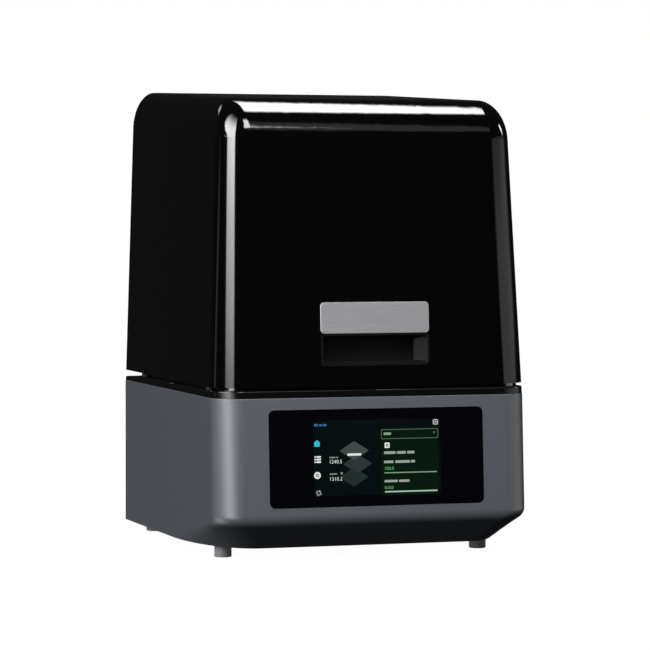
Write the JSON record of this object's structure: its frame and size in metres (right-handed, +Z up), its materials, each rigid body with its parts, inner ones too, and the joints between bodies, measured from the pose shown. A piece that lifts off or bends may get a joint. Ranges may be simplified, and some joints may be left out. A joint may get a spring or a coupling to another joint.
{
  "type": "dental three-d printer",
  "caption": "Desktop dental resin printer: grey leaning base with flush touch display, gloss black tip-up hood, resin vat and lifting build platform inside.",
  "frame": {"origin": "middle of the overall footprint, on the plane the feet stand on", "axes": "+Z up, +X to the right seen from the front, +Y to the rear; the display faces -Y"},
  "size_m": [0.38, 0.4289, 0.5448],
  "materials": {
    "painted_grey": "satin slate grey paint",
    "gloss_black": "high gloss black",
    "matte_black": "matte black",
    "display_black": "black touch glass",
    "screen_glass": "dark screen glass",
    "brushed_aluminium": "brushed satin",
    "machined_aluminium": "machined",
    "black_anodised": "black anodised",
    "steel": "brushed",
    "screw_steel": "zinc plated",
    "bronze": "machined bronze",
    "rubber_grey": "moulded",
    "board_green": "solder mask",
    "vat_film_clear": "clear film"
  },
  "bodies": {
    "base": {"base_housing": "painted_grey", "bottom_plate": "steel", "bottom_screws": "screw_steel", "feet": "rubber_grey", "foot_studs": "steel", "frame_posts": "machined_aluminium", "machine_plate": "machined_aluminium", "deck_cover": "gloss_black", "deck_screws": "screw_steel", "hood_bumpers": "rubber_grey", "display_glass": "display_black", "display_module": "steel", "display_bracket": "matte_black", "screen_frame": "matte_black", "exposure_screen": "screen_glass", "lens_plate": "screen_glass", "light_box": "black_anodised", "led_board": "board_green", "heat_sink": "machined_aluminium", "light_fan_frame": "matte_black", "exhaust_fan_frame": "matte_black", "power_supply": "steel", "board_standoffs": "screw_steel", "mainboard": "board_green", "power_inlet": "matte_black", "switch_bezel": "matte_black", "ethernet_socket": "steel", "usb_socket": "steel", "z_motor": "steel", "z_column": "machined_aluminium", "column_screws": "screw_steel", "z_rails": "steel", "screw_bearing_block": "machined_aluminium", "vat_ring": "steel", "vat_film": "vat_film_clear", "vat_frame": "black_anodised", "clamp_screws": "steel", "hinge_bracket_left": "black_anodised", "hinge_bracket_right": "black_anodised", "hinge_screws": "screw_steel"},
    "hood": {"hood_shell": "gloss_black", "handle_plate": "brushed_aluminium", "handle_pocket": "matte_black", "hood_bracket_left": "black_anodised", "hood_bracket_right": "black_anodised", "hinge_pins": "steel", "hood_bracket_screws": "screw_steel"},
    "carriage": {"carriage_plate": "machined_aluminium", "lead_nut": "bronze", "rail_blocks": "steel", "build_arm": "machined_aluminium", "build_platform": "machined_aluminium", "levelling_screws": "screw_steel"},
    "knob": {"platform_knob": "matte_black"},
    "screw": {"lead_screw": "steel"},
    "clamp_left": {"vat_clamp_left": "matte_black"},
    "clamp_right": {"vat_clamp_right": "matte_black"},
    "rocker": {"switch_rocker": "matte_black"},
    "light_fan": {"light_fan_rotor": "matte_black"},
    "exhaust_fan": {"exhaust_fan_rotor": "matte_black"}
  },
  "joints": [
    {"name": "hood_hinge", "type": "hinge", "parent": "base", "child": "hood", "pos_m": [0, 0.18518, 0.225], "axis": [-1, 0, 0], "range_deg": [0, 80]},
    {"name": "platform_lift", "type": "slide", "parent": "base", "child": "carriage", "axis": [0, 0, 1], "range_m": [-0.09, 0.085]},
    {"name": "lead_screw_spin", "type": "hinge", "parent": "base", "child": "screw", "pos_m": [0, 0.09918, 0.1837], "axis": [0, 0, 1], "range_deg": [-3830, 4055]},
    {"name": "platform_knob_turn", "type": "hinge", "parent": "carriage", "child": "knob", "pos_m": [0, -0.02582, 0.3546], "axis": [0, 0, 1], "range_deg": [0, 720]},
    {"name": "vat_clamp_left_turn", "type": "hinge", "parent": "base", "child": "clamp_left", "pos_m": [-0.141, -0.02582, 0.208], "axis": [0, 0, 1], "range_deg": [0, 90]},
    {"name": "vat_clamp_right_turn", "type": "hinge", "parent": "base", "child": "clamp_right", "pos_m": [0.141, -0.02582, 0.208], "axis": [0, 0, -1], "range_deg": [0, 90]},
    {"name": "mains_switch", "type": "hinge", "parent": "base", "child": "rocker", "pos_m": [-0.095, 0.20168, 0.052], "axis": [0, 0, 1], "range_deg": [0, 22]},
    {"name": "light_fan_spin", "type": "hinge", "parent": "base", "child": "light_fan", "pos_m": [0, -0.02582, 0.025], "axis": [0, 0, 1], "continuous": true},
    {"name": "exhaust_fan_spin", "type": "hinge", "parent": "base", "child": "exhaust_fan", "pos_m": [0.095, 0.17768, 0.11], "axis": [0, 1, 0], "continuous": true}
  ],
  "couplings": [
    {"joint": "lead_screw_spin", "follows": "platform_lift", "rad_per_m": -785.4}
  ]
}
